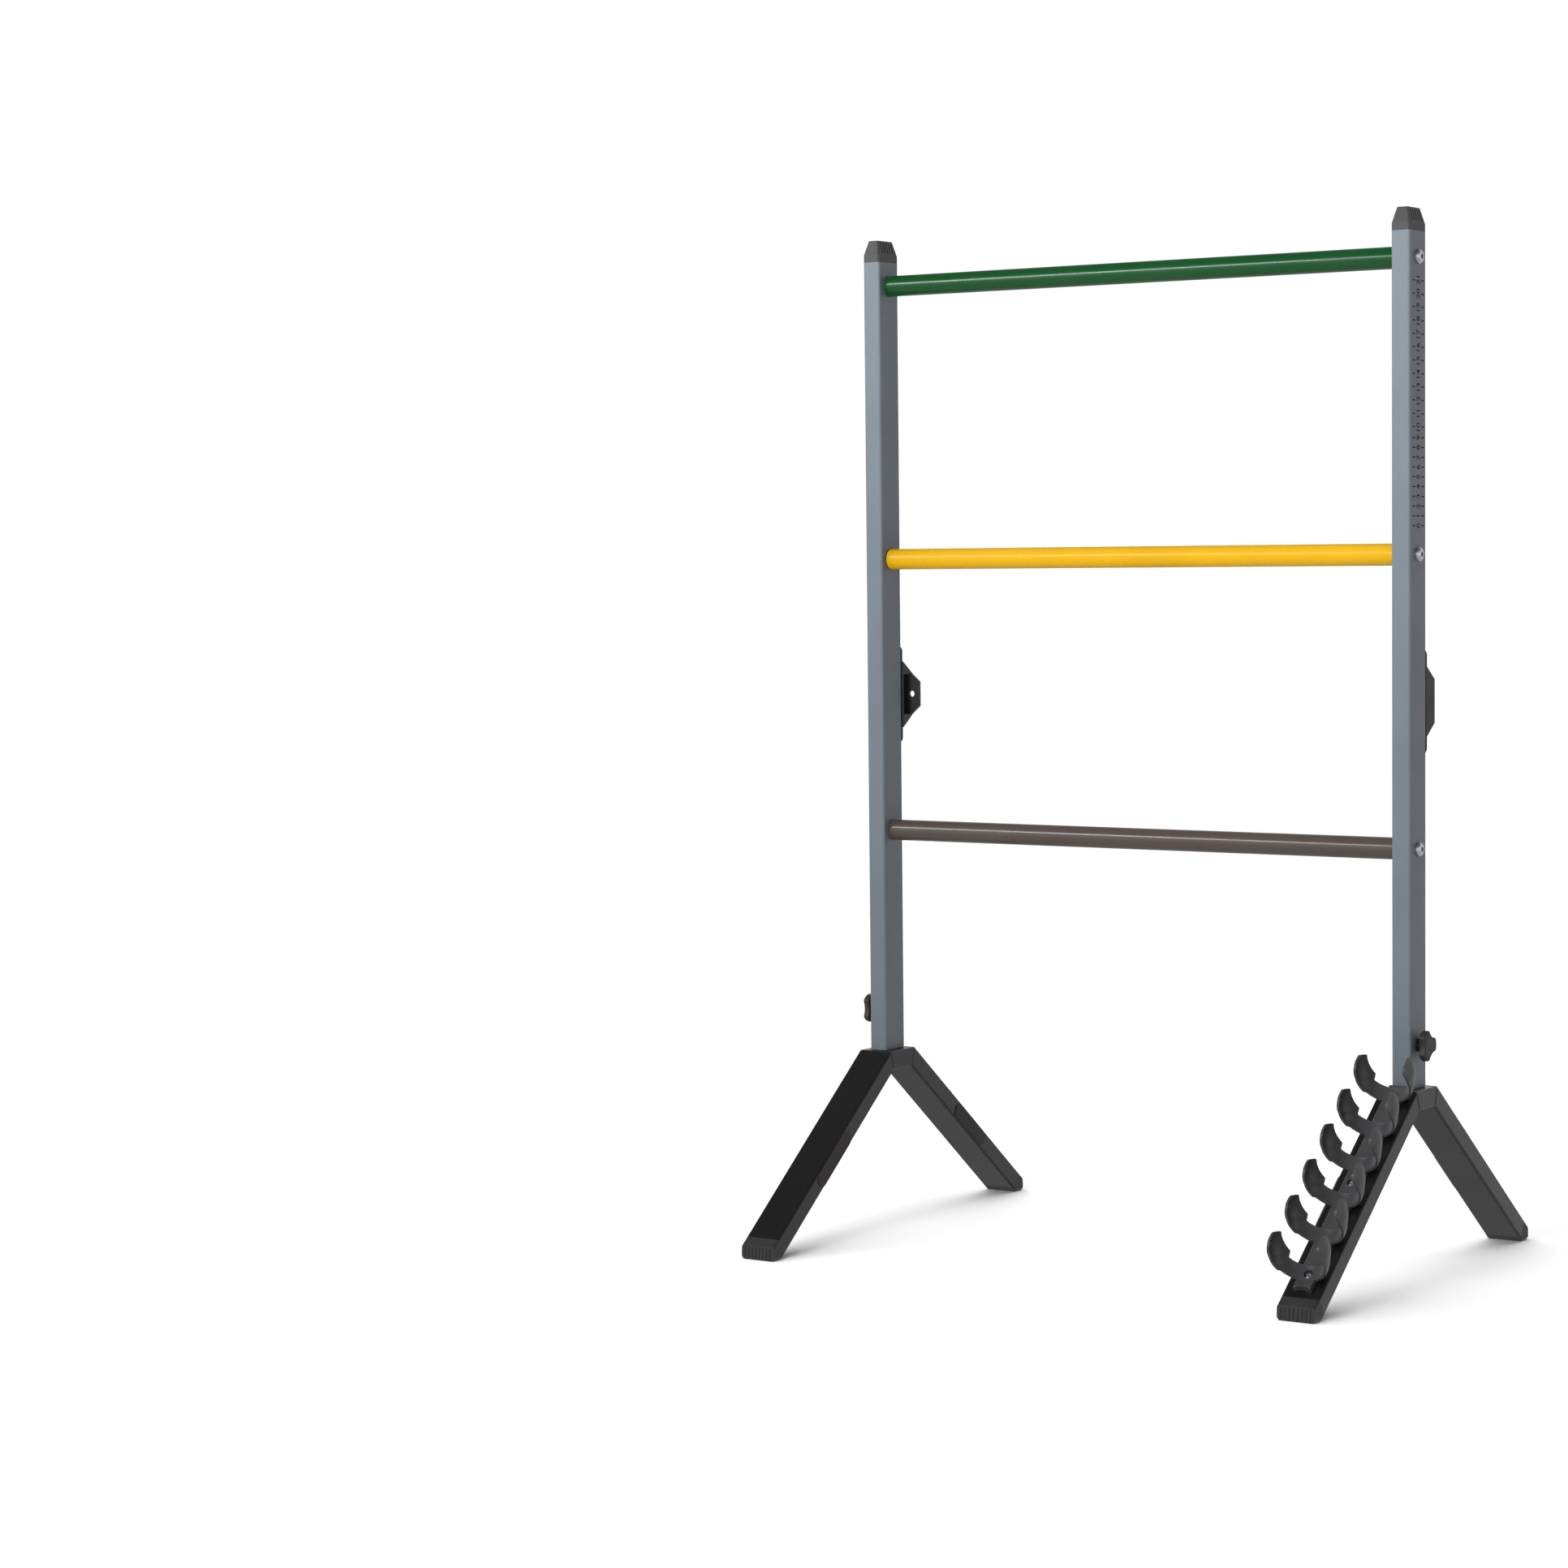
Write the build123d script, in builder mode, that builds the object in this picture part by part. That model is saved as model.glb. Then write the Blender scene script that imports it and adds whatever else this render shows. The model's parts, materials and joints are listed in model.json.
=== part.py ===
"""Ladder toss frame: a three-rung steel ladder standing on two A-shaped leg sets.

X runs along the rungs, the front is -Y and the floor is Z = 0. All lengths are millimetres.
Every piece is its own solid. Left is -X and right is +X, seen from the front.
"""
from build123d import *
from math import cos, radians, sin, tan
import os

os.makedirs("parts", exist_ok=True)

# Whole frame
LADDER_Y = 5.6            # uprights' centre plane, which puts the origin in the middle of the base
SPAN = 590                # clear length of a rung between the uprights
RUNG_PITCH = 290
LOWEST_RUNG = 427         # height of the bottom rung's centre line
RUNG_NAMES = ("bottom", "middle", "top")
RUNG_HEIGHTS = [LOWEST_RUNG + RUNG_PITCH * step for step in range(len(RUNG_NAMES))]
WALL = 1.2                # wall of every steel tube
SLIP = 0.3                # gap between pieces that move against each other
SNUG = 0.1                # gap round a plug inside its tube
HANDS = (("left", -1), ("right", 1))
WAYS = (("front", -1), ("rear", 1))

# Uprights and their top caps
UPRIGHT_W = 20
UPRIGHT_D = 38
TUBE_R = 2.5              # outer corner radius of the rectangular tubes
UPRIGHT_X = SPAN / 2 + UPRIGHT_W / 2
UPRIGHT_TOP = 1032
CAP_BAND = 7.5
CAP_TOP = 1055
CAP_INSET = 4.3
CAP_PLUG = 18
CAP_SLOTS = 5             # on each tapered side face, square to the rungs
CAP_SLOT_PITCH = 5.2
CAP_SLOT_W = 1.8
CAP_SLOT_HEIGHT = 11.5
CAP_SLOT_DEPTH = 1.2

# Rungs, their end plugs, nuts and bolts
RUNG_R = 11
PLUG_FLANGE = 1
PLUG_LENGTH = 23
BOLT_R = 4
BOLT_REACH = 45
BOLT_HEAD_R = 7.25
BOLT_HEAD_H = 4.4
BOLT_RIM = 0.9            # straight edge of a bolt head, below its dome
BOLT_CLEARANCE = 0.3
HEX_SOCKET_R = 2.9
HEX_SOCKET_DEPTH = 2.4
NUT_FLATS = 13
NUT_H = 6.5

# Leg sets: a short bridge with a mitred leg at each end, and a stub inside the upright
LEG_W = 40
LEG_T = 20
LEG_ANGLE = 52.5          # of each leg from the vertical
BRIDGE_TOP = 190
BRIDGE_HALF = 24.5        # half the bridge's length along its top face
LEG_LENGTH = 277          # along the leg's outer face, from the mitre to the foot
STUB_TOP = 265
UPRIGHT_FOOT = BRIDGE_TOP + 0.5
MITRE = (90 - LEG_ANGLE) / 2

# Feet
FOOT_OUTER = 287.5        # along the leg's outer face, where the toe turns down
SOLE_HEEL = 239           # from the ladder's centre plane to the near edge of the sole
SOLE_TOE = 253.5
SOLE_CHAMFER = 2.4        # across the sole's side edges
SOLE_CHAMFER_RISE = 3.4
FOOT_LAP = 1              # how far the toe's outline starts inside the end of the tube
FOOT_PLUG = 20
FOOT_GROOVES = 8
GROOVE_W = 1.4
GROOVE_DEPTH = 0.6
GROOVE_INSET = 2          # from the toe's top edge to the grooves

# Rubbing pads on the legs' inner faces
PAD_LENGTH = 75
PAD_W = 16
PAD_T = 1.2
PAD_EDGE = 0.5
PAD_CENTRE = 150.5        # along the leg from the mitre

# Clamp knobs
KNOB_Z = 233
BOSS_R = 6.5
BOSS_LENGTH = 5.7
BOSS_CHAMFER = 0.6
STUD_R = 3.95
STUD_CHAMFER = 0.4
KNOB_R = 15.5
KNOB_T = 7
KNOB_GAP = 6              # from the upright's face to the knob head
KNOB_LOBES = 3
SCALLOP_R = 16
SCALLOP_DEPTH = 5
LOBE_R = 3.5
KNOB_RIM_R = 1.8
KNOB_EDGE = 0.8
KNOB_CROWN = 2            # solid thickness over the end of the stud

# Storage brackets on the uprights' back faces
BRACKET_BOTTOM = 519.5
BRACKET_TOP = 624
FLANGE_T = 2
FLANGE_R = 6              # corner radius of the flange
BLOCK_REACH = 20.5        # from the upright's back face to the back of the block
BLOCK_FOOT = 71           # height of the block where it leaves the flange
BLOCK_TIP = 43.2          # height of its back plate, and of the pocket in it
BLOCK_WALL = 3
PLATE_T = 3.5
BLOCK_W = 21.5
EAR_REACH = 11.3          # how far the back plate stands past the upright's inner face
EAR_TIP = 26
EYE_R = 3.5
EYE_INSET = 2             # from the upright's inner face to the eye
SCREW_R = 1.95
SCREW_HEAD_R = 3.6
SCREW_HEAD_H = 2.4
SCREW_LENGTH = 12

# Ball rack on the right front leg
RAIL_W = 18
RAIL_T = 6
RAIL_START = -2           # along the leg from the mitre
RAIL_END = 269
RAIL_EDGE = 0.8
RAIL_NOTCH_R = 14         # hollow in the rail's lower end
RAIL_NOTCH_DEPTH = 2
CRADLES = 6
CRADLE_START = 17.1       # along the leg to the first ball centre
CRADLE_PITCH = 47.8
BALL_HEIGHT = 31.3        # of each ball centre over the leg's outer face
CRADLE_R = 27             # inside radius, for a ball about 52 across
CRADLE_T = 2.2
CRADLE_BELLY = (27.8, 10)  # inside radius and height over the ball's middle where a cradle is widest
CRADLE_MOUTH = (23.6, 25)  # the same where its side ends
STRAP_LOW = -2.3          # edges of the strap under the ball, up the leg from the ball
STRAP_HIGH = 13.1
STRAP_ROOT = 15.2         # where the strap's lower edge meets the leaf, towards the leg from the ball
LEAF_CORNERS = (          # y and z of a leaf's corners from the ball centre, and the radius of each
    (5.8, -15, 1.6),
    (-15.5, 11.5, 7),
    (-3, 23.4, 5),
    (9.5, 22.8, 2.4),
    (20.3, 3, 1),
    (18.6, -3.2, 1.5),
)
STRAP_CORNER_R = 0.6
NIB_R = 2.2
NIB = (27, -4.5, 13.5)
RACK_SCREW_HEAD_R = 4
RACK_SCREW_SEAT = 1.6
MIDDLE_SCREW_SEAT = 3
ACCESS_R = 4.5


def save(solid, name):
    """Label a finished piece and write it as a STEP file of the same name."""
    solid.label = name
    export_step(solid, f"parts/{name}.step")


def level(z):
    """Horizontal plane at height z, over the ladder's centre line."""
    return Plane(origin=(0, LADDER_Y, z))


def side(x):
    """Upright plane across the rungs at x, drawn with front-to-back and up."""
    return Plane(origin=(x, LADDER_Y, 0), x_dir=(0, 1, 0), z_dir=(1, 0, 0))


def face(y):
    """Upright plane along the rungs, y behind the ladder's centre, looking forwards."""
    return Plane(origin=(0, LADDER_Y + y, 0), x_dir=(1, 0, 0), z_dir=(0, -1, 0))


def along(way):
    """Direction down a leg: way is -1 for a front leg and 1 for a rear one."""
    return Vector(0, way * sin(radians(LEG_ANGLE)), -cos(radians(LEG_ANGLE)))


def outward(way):
    """Direction out of a leg's outer face."""
    return Vector(0, way * cos(radians(LEG_ANGLE)), sin(radians(LEG_ANGLE)))


def on_leg(x, way, distance, height):
    """Point by its distance down a leg's outer face and its height over that face."""
    corner = Vector(x, LADDER_Y + way * BRIDGE_HALF, BRIDGE_TOP)
    return corner + along(way) * distance + outward(way) * height


def across_leg(x, way, distance):
    """Plane square to a leg, on the tube's centre line."""
    return Plane(origin=on_leg(x, way, distance, -LEG_T / 2), x_dir=(1, 0, 0), z_dir=along(way))


def over_leg(x, way, distance, height):
    """Plane parallel to a leg's outer face, drawn with X and down the leg."""
    return Plane(origin=on_leg(x, way, distance, height), x_dir=(1, 0, 0), z_dir=outward(way))


def mitre(way):
    """Plane of the joint between the bridge and a leg, facing the leg."""
    normal = Vector(0, way * cos(radians(MITRE)), -sin(radians(MITRE)))
    return Plane(origin=(0, LADDER_Y + way * BRIDGE_HALF, BRIDGE_TOP), x_dir=(1, 0, 0), z_dir=normal)


# ---------------------------------------------------------------- ladder

def upright(hand):
    """Rectangular tube with holes for the rung bolts, the clamp stud and the bracket screws."""
    x = hand * UPRIGHT_X
    with BuildPart() as tube:
        with BuildSketch(level(UPRIGHT_FOOT)):
            with Locations((x, 0)):
                RectangleRounded(UPRIGHT_W, UPRIGHT_D, TUBE_R)
                bore_w = UPRIGHT_W - 2 * WALL
                bore_d = UPRIGHT_D - 2 * WALL
                RectangleRounded(bore_w, bore_d, TUBE_R - WALL, mode=Mode.SUBTRACT)
        extrude(amount=UPRIGHT_TOP - UPRIGHT_FOOT)
        with BuildSketch(side(x)):
            with Locations(*[(0, z) for z in RUNG_HEIGHTS]):
                Circle(BOLT_R + BOLT_CLEARANCE)
        extrude(amount=UPRIGHT_W, both=True, mode=Mode.SUBTRACT)
        with BuildSketch(side(x)):
            with Locations((0, KNOB_Z)):
                Circle(STUD_R + SLIP + SNUG / 2)
        extrude(amount=hand * UPRIGHT_W, mode=Mode.SUBTRACT)
        with BuildSketch(face(0)):
            with Locations(*[(x, z) for z in bracket_screw_heights()]):
                Circle(SCREW_R)
        extrude(amount=-UPRIGHT_D, mode=Mode.SUBTRACT)
    return tube.part


def upright_cap(hand):
    """Moulded cap: a plug in the tube, a flush band and a tapered top with slotted sides."""
    x = hand * UPRIGHT_X
    band_top = UPRIGHT_TOP + CAP_BAND
    rise = CAP_TOP - band_top
    bore_w = UPRIGHT_W - 2 * WALL
    bore_d = UPRIGHT_D - 2 * WALL
    with BuildPart() as cap:
        with BuildSketch(level(UPRIGHT_TOP - CAP_PLUG)):
            with Locations((x, 0)):
                RectangleRounded(bore_w - 2 * SNUG, bore_d - 2 * SNUG, TUBE_R - WALL)
        extrude(amount=CAP_PLUG)
        with BuildSketch(level(UPRIGHT_TOP)):
            with Locations((x, 0)):
                RectangleRounded(UPRIGHT_W, UPRIGHT_D, TUBE_R)
        extrude(amount=CAP_BAND)
        with BuildSketch(level(band_top)):
            with Locations((x, 0)):
                RectangleRounded(UPRIGHT_W, UPRIGHT_D, TUBE_R)
        with BuildSketch(level(CAP_TOP)):
            with Locations((x, 0)):
                RectangleRounded(UPRIGHT_W - 2 * CAP_INSET, UPRIGHT_D - 2 * CAP_INSET, TUBE_R / 2)
        loft()
        for facing in (-1, 1):
            middle = Vector(x + facing * (UPRIGHT_W - CAP_INSET) / 2, LADDER_Y, band_top + rise / 2)
            with BuildSketch(Plane(origin=middle, x_dir=(0, 1, 0), z_dir=(facing * rise, 0, CAP_INSET))):
                with GridLocations(CAP_SLOT_PITCH, 1, CAP_SLOTS, 1):
                    Rectangle(CAP_SLOT_W, CAP_SLOT_HEIGHT)
            extrude(amount=-CAP_SLOT_DEPTH, mode=Mode.SUBTRACT)
    return cap.part


def rung(height):
    """Round tube between the two end plugs' flanges."""
    half = SPAN / 2 - PLUG_FLANGE
    with BuildPart() as tube:
        with BuildSketch(side(-half)):
            with Locations((0, height)):
                Circle(RUNG_R)
                Circle(RUNG_R - WALL, mode=Mode.SUBTRACT)
        extrude(amount=2 * half)
    return tube.part


def rung_plug(hand, height):
    """Plug in a rung's end: a thin flange against the upright and a pocket for the nut."""
    with BuildPart() as plug:
        with BuildSketch(side(hand * SPAN / 2)):
            with Locations((0, height)):
                Circle(RUNG_R)
        extrude(amount=-hand * PLUG_FLANGE)
        with BuildSketch(side(hand * (SPAN / 2 - PLUG_FLANGE))):
            with Locations((0, height)):
                Circle(RUNG_R - WALL)
        extrude(amount=-hand * PLUG_LENGTH)
        with BuildSketch(side(hand * SPAN / 2)):
            with Locations((0, height)):
                Circle(BOLT_R + BOLT_CLEARANCE)
        extrude(amount=-hand * (PLUG_LENGTH + PLUG_FLANGE), mode=Mode.SUBTRACT)
        with BuildSketch(side(hand * (SPAN / 2 - PLUG_FLANGE - PLUG_LENGTH))):
            with Locations((0, height)):
                RegularPolygon(NUT_FLATS / 2, 6, major_radius=False)
        extrude(amount=hand * NUT_H, mode=Mode.SUBTRACT)
    return plug.part


def rung_nuts(hand):
    """The three nuts held in one upright's rung plugs."""
    with BuildPart() as nuts:
        with BuildSketch(side(hand * (SPAN / 2 - PLUG_FLANGE - PLUG_LENGTH))):
            with Locations(*[(0, z) for z in RUNG_HEIGHTS]):
                RegularPolygon(NUT_FLATS / 2, 6, major_radius=False)
                Circle(BOLT_R, mode=Mode.SUBTRACT)
        extrude(amount=hand * NUT_H)
    return nuts.part


def rung_bolts(hand):
    """The three domed bolts through one upright, with hexagon sockets in their heads."""
    outer = hand * (UPRIGHT_X + UPRIGHT_W / 2)
    with BuildPart() as bolts:
        with BuildSketch(side(outer)):
            with Locations(*[(0, z) for z in RUNG_HEIGHTS]):
                Circle(BOLT_HEAD_R)
        extrude(amount=hand * BOLT_HEAD_H)
        rims = bolts.edges().group_by(Axis.X)[-1 if hand > 0 else 0]
        fillet(rims, BOLT_HEAD_H - BOLT_RIM)
        with BuildSketch(side(outer)):
            with Locations(*[(0, z) for z in RUNG_HEIGHTS]):
                Circle(BOLT_R)
        extrude(amount=-hand * BOLT_REACH)
        with BuildSketch(side(outer + hand * BOLT_HEAD_H)):
            with Locations(*[(0, z) for z in RUNG_HEIGHTS]):
                RegularPolygon(HEX_SOCKET_R, 6)
        extrude(amount=-hand * HEX_SOCKET_DEPTH, mode=Mode.SUBTRACT)
    return bolts.part


def knob_boss(hand):
    """Threaded boss on an upright's outer face, which the clamp stud runs in."""
    with BuildPart() as boss:
        with BuildSketch(side(hand * (UPRIGHT_X + UPRIGHT_W / 2))):
            with Locations((0, KNOB_Z)):
                Circle(BOSS_R)
                Circle(STUD_R + SNUG / 2, mode=Mode.SUBTRACT)
        extrude(amount=hand * BOSS_LENGTH)
        end_edges = boss.edges().group_by(Axis.X)[-1 if hand > 0 else 0]
        chamfer(end_edges.sort_by(SortBy.RADIUS)[-1], BOSS_CHAMFER)
    return boss.part


# ---------------------------------------------------------------- storage brackets

def bracket_middle():
    """Height of a bracket's middle."""
    return (BRACKET_BOTTOM + BRACKET_TOP) / 2


def bracket_screw_heights():
    """Heights of the two screws in a bracket's flange."""
    inset = (BRACKET_TOP - BRACKET_BOTTOM - BLOCK_FOOT) / 4
    return (BRACKET_BOTTOM + inset, BRACKET_TOP - inset)


def storage_bracket(hand):
    """Moulded bracket: a flange, a tapered block open on its inner side, and an eye plate."""
    x = hand * UPRIGHT_X
    outer = hand * (UPRIGHT_X + UPRIGHT_W / 2)
    inner = hand * (UPRIGHT_X - UPRIGHT_W / 2)
    back = UPRIGHT_D / 2
    middle = bracket_middle()
    block_inner = outer - hand * BLOCK_W
    ear_tip = inner - hand * EAR_REACH
    with BuildPart() as bracket:
        with BuildSketch(face(back)):
            with Locations((x, middle)):
                RectangleRounded(UPRIGHT_W, BRACKET_TOP - BRACKET_BOTTOM, FLANGE_R)
        extrude(amount=-FLANGE_T)
        with BuildSketch(side(outer)):
            with BuildLine():
                Polyline(
                    (back + FLANGE_T / 2, middle - BLOCK_FOOT / 2),
                    (back + BLOCK_REACH, middle - BLOCK_TIP / 2),
                    (back + BLOCK_REACH, middle + BLOCK_TIP / 2),
                    (back + FLANGE_T / 2, middle + BLOCK_FOOT / 2),
                    close=True,
                )
            make_face()
        extrude(amount=-hand * BLOCK_W)
        with BuildSketch(face(back + BLOCK_REACH)):
            with BuildLine():
                Polyline(
                    (block_inner + hand * BLOCK_WALL, middle - BLOCK_TIP / 2),
                    (block_inner, middle - BLOCK_TIP / 2),
                    (ear_tip, middle - EAR_TIP / 2),
                    (ear_tip, middle + EAR_TIP / 2),
                    (block_inner, middle + BLOCK_TIP / 2),
                    (block_inner + hand * BLOCK_WALL, middle + BLOCK_TIP / 2),
                    close=True,
                )
            make_face()
        extrude(amount=PLATE_T)
        with BuildSketch(side(outer - hand * BLOCK_WALL)):
            with Locations(((2 * back + FLANGE_T + BLOCK_REACH - PLATE_T) / 2, middle)):
                Rectangle(BLOCK_REACH - PLATE_T - FLANGE_T, BLOCK_TIP)
        extrude(amount=-hand * BLOCK_W, mode=Mode.SUBTRACT)
        with BuildSketch(face(back + BLOCK_REACH)):
            with Locations((inner - hand * EYE_INSET, middle)):
                Circle(EYE_R)
        extrude(amount=PLATE_T, mode=Mode.SUBTRACT)
        with BuildSketch(face(back + FLANGE_T)):
            with Locations(*[(x, z) for z in bracket_screw_heights()]):
                Circle(SCREW_R)
        extrude(amount=FLANGE_T, mode=Mode.SUBTRACT)
    return bracket.part


def screw_profile(plane, axis, head_r, head_h, length):
    """Solid of revolution for a pan-headed screw: plane's x runs up the screw from under its head."""
    with BuildPart() as screw:
        with BuildSketch(plane):
            with BuildLine():
                Polyline((0, 0), (-length, 0), (SCREW_R - length, SCREW_R), (0, SCREW_R), (0, head_r))
                Line((0, head_r), (head_h / 2, head_r))
                RadiusArc((head_h / 2, head_r), (head_h, head_r / 2), head_r)
                Polyline((head_h, head_r / 2), (head_h, 0), (0, 0))
            make_face()
        revolve(axis=axis)
    return screw.part


def bracket_screws(hand):
    """The two self-tapping screws that hold a bracket to its upright."""
    seat = LADDER_Y + UPRIGHT_D / 2 + FLANGE_T
    points = [Vector(hand * UPRIGHT_X, seat, z) for z in bracket_screw_heights()]
    screws = [screw_profile(Plane(origin=p, x_dir=(0, 1, 0), z_dir=(1, 0, 0)), Axis(p, (0, 1, 0)),
                            SCREW_HEAD_R, SCREW_HEAD_H, SCREW_LENGTH) for p in points]
    with BuildPart() as pair:
        add(screws)
    return pair.part


# ---------------------------------------------------------------- leg sets

def bridge(hand):
    """Short level tube over the legs, mitred at both ends and slotted for the stub."""
    x = hand * UPRIGHT_X
    stub_w = UPRIGHT_W - 2 * WALL - 2 * SLIP
    stub_d = UPRIGHT_D - 2 * WALL - 2 * SLIP
    with BuildPart() as tube:
        with BuildSketch(face(0)):
            with Locations((x, BRIDGE_TOP - LEG_T / 2)):
                RectangleRounded(LEG_W, LEG_T, TUBE_R)
                RectangleRounded(LEG_W - 2 * WALL, LEG_T - 2 * WALL, TUBE_R - WALL, mode=Mode.SUBTRACT)
        extrude(amount=BRIDGE_HALF, both=True)
        for _, way in WAYS:
            split(bisect_by=mitre(way), keep=Keep.BOTTOM)
        with BuildSketch(level(BRIDGE_TOP)):
            with Locations((x, 0)):
                RectangleRounded(stub_w, stub_d, TUBE_R - WALL)
        extrude(amount=-LEG_T / 2, mode=Mode.SUBTRACT)
    return tube.part


def stub(hand):
    """Tube welded in the bridge, which slides up inside the upright."""
    stub_w = UPRIGHT_W - 2 * WALL - 2 * SLIP
    stub_d = UPRIGHT_D - 2 * WALL - 2 * SLIP
    foot = BRIDGE_TOP - LEG_T + WALL
    with BuildPart() as tube:
        with BuildSketch(level(foot)):
            with Locations((hand * UPRIGHT_X, 0)):
                RectangleRounded(stub_w, stub_d, TUBE_R - WALL)
                RectangleRounded(stub_w - 2 * WALL, stub_d - 2 * WALL, SNUG, mode=Mode.SUBTRACT)
        extrude(amount=STUB_TOP - foot)
    return tube.part


def leg(hand, way, screw_stations=()):
    """Straight rectangular tube, mitred to the bridge and cut square at the foot."""
    x = hand * UPRIGHT_X
    overlap = LEG_T * tan(radians(MITRE))
    with BuildPart() as tube:
        with BuildSketch(across_leg(x, way, -overlap)):
            RectangleRounded(LEG_W, LEG_T, TUBE_R)
            RectangleRounded(LEG_W - 2 * WALL, LEG_T - 2 * WALL, TUBE_R - WALL, mode=Mode.SUBTRACT)
        extrude(amount=LEG_LENGTH + overlap)
        split(bisect_by=mitre(way), keep=Keep.TOP)
        for station in screw_stations:
            with BuildSketch(over_leg(x, way, station, 0)):
                Circle(SCREW_R)
            extrude(amount=-2 * WALL, mode=Mode.SUBTRACT)
    return tube.part


def foot(hand, way):
    """Moulded foot: a plug in the leg, and a toe with a flat sole and an upright ribbed front."""
    x = hand * UPRIGHT_X
    toe_top = on_leg(x, way, FOOT_OUTER, 0)
    heel_top = on_leg(x, way, LEG_LENGTH - FOOT_LAP, -LEG_T)
    toe_seam = on_leg(x, way, LEG_LENGTH - FOOT_LAP, 0)
    toe_y = LADDER_Y + way * SOLE_TOE
    with BuildPart() as cap:
        with BuildSketch(across_leg(x, way, LEG_LENGTH)):
            RectangleRounded(LEG_W, LEG_T, TUBE_R)
        extrude(amount=2 * LEG_T)
        with BuildSketch(side(x)):
            with BuildLine():
                Polyline(
                    (toe_seam.Y - LADDER_Y, toe_seam.Z),
                    (toe_top.Y - LADDER_Y, toe_top.Z),
                    (way * SOLE_TOE, 0),
                    (way * SOLE_HEEL, 0),
                    (heel_top.Y - LADDER_Y, heel_top.Z),
                    close=True,
                )
            make_face()
        extrude(amount=LEG_W, both=True, mode=Mode.INTERSECT)
        with BuildSketch(face(way * SOLE_HEEL)):
            for edge in (-1, 1):
                corner = x + edge * LEG_W / 2
                inset = (corner - edge * SOLE_CHAMFER, 0)
                with BuildLine():
                    Polyline((corner, 0), inset, (corner, SOLE_CHAMFER_RISE), close=True)
                make_face()
        extrude(amount=LEG_W, both=True, mode=Mode.SUBTRACT)
        toe_normal = (0, way * toe_top.Z, way * (toe_y - toe_top.Y))
        with BuildSketch(Plane(origin=(x, toe_y, 0), x_dir=(1, 0, 0), z_dir=toe_normal)):
            with GridLocations((LEG_W - 2 * TUBE_R) / FOOT_GROOVES, 1, FOOT_GROOVES, 1):
                Rectangle(GROOVE_W, 2 * (toe_top.Z - GROOVE_INSET))
        extrude(amount=-GROOVE_DEPTH, mode=Mode.SUBTRACT)
        with BuildSketch(across_leg(x, way, LEG_LENGTH - FOOT_PLUG)):
            RectangleRounded(LEG_W - 2 * (WALL + SNUG), LEG_T - 2 * (WALL + SNUG), TUBE_R - WALL)
        extrude(amount=FOOT_PLUG)
    return cap.part


def pad(hand, way):
    """Round-ended rubbing pad on a leg's inner face."""
    inner = hand * (UPRIGHT_X - LEG_W / 2)
    middle = on_leg(inner, way, PAD_CENTRE, -LEG_T / 2)
    with BuildPart() as strip:
        with BuildSketch(Plane(origin=middle, x_dir=along(way), z_dir=(-hand, 0, 0))):
            SlotOverall(PAD_LENGTH, PAD_W)
        extrude(amount=PAD_T)
        fillet(strip.faces().sort_by(Axis.X)[-1 if hand < 0 else 0].edges(), PAD_EDGE)
    return strip.part


# ---------------------------------------------------------------- clamp knobs

def knob_stud(hand):
    """Stud that runs in the boss and stops just short of the stub inside the upright."""
    tip = UPRIGHT_X + UPRIGHT_W / 2 - WALL
    end = UPRIGHT_X + UPRIGHT_W / 2 + KNOB_GAP + KNOB_T - KNOB_CROWN
    with BuildPart() as stud:
        with BuildSketch(side(hand * tip)):
            with Locations((0, KNOB_Z)):
                Circle(STUD_R)
        extrude(amount=hand * (end - tip))
        chamfer(stud.edges().filter_by(GeomType.CIRCLE), STUD_CHAMFER)
    return stud.part


def knob(hand):
    """Three-lobed knob head with a wide scallop between lobes; one lobe points to the rear."""
    seat = hand * (UPRIGHT_X + UPRIGHT_W / 2 + KNOB_GAP)
    half_lobe = 180 / KNOB_LOBES
    with BuildPart() as head:
        with BuildSketch(side(seat)) as outline:
            with Locations((0, KNOB_Z)):
                Circle(KNOB_R)
                with PolarLocations(KNOB_R + SCALLOP_R - SCALLOP_DEPTH, KNOB_LOBES, start_angle=half_lobe):
                    Circle(SCALLOP_R, mode=Mode.SUBTRACT)
            fillet(outline.vertices(), LOBE_R)
        extrude(amount=hand * KNOB_T)
        outer_first = head.faces().sort_by(Axis.X, reverse=hand > 0)
        fillet(outer_first[0].edges(), KNOB_RIM_R)
        chamfer(head.faces().sort_by(Axis.X, reverse=hand < 0)[0].edges(), KNOB_EDGE)
        with BuildSketch(side(seat)):
            with Locations((0, KNOB_Z)):
                Circle(STUD_R + SNUG / 2)
        extrude(amount=hand * (KNOB_T - KNOB_CROWN + SLIP), mode=Mode.SUBTRACT)
    return head.part


# ---------------------------------------------------------------- ball rack

def ball_centre(number):
    """Centre of a ball in its cradle, counted from the top."""
    return on_leg(UPRIGHT_X, -1, CRADLE_START + CRADLE_PITCH * number, BALL_HEIGHT)


def strap_station(number):
    """Distance down the leg to the middle of a cradle's strap."""
    return CRADLE_START + CRADLE_PITCH * number - (STRAP_LOW + STRAP_HIGH) / 2


def rack_screw_stations():
    """Distances down the leg to the rack's three screws."""
    middle = (strap_station(2) + strap_station(3)) / 2
    return (strap_station(0), middle, strap_station(CRADLES - 1))


def strap_corner(offset, reach):
    """Corner of a strap in side view: offset up the leg, and reach towards the leg."""
    up = along(-1) * -offset
    down = outward(-1) * -reach
    return ((up + down).Y, (up + down).Z)


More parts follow.
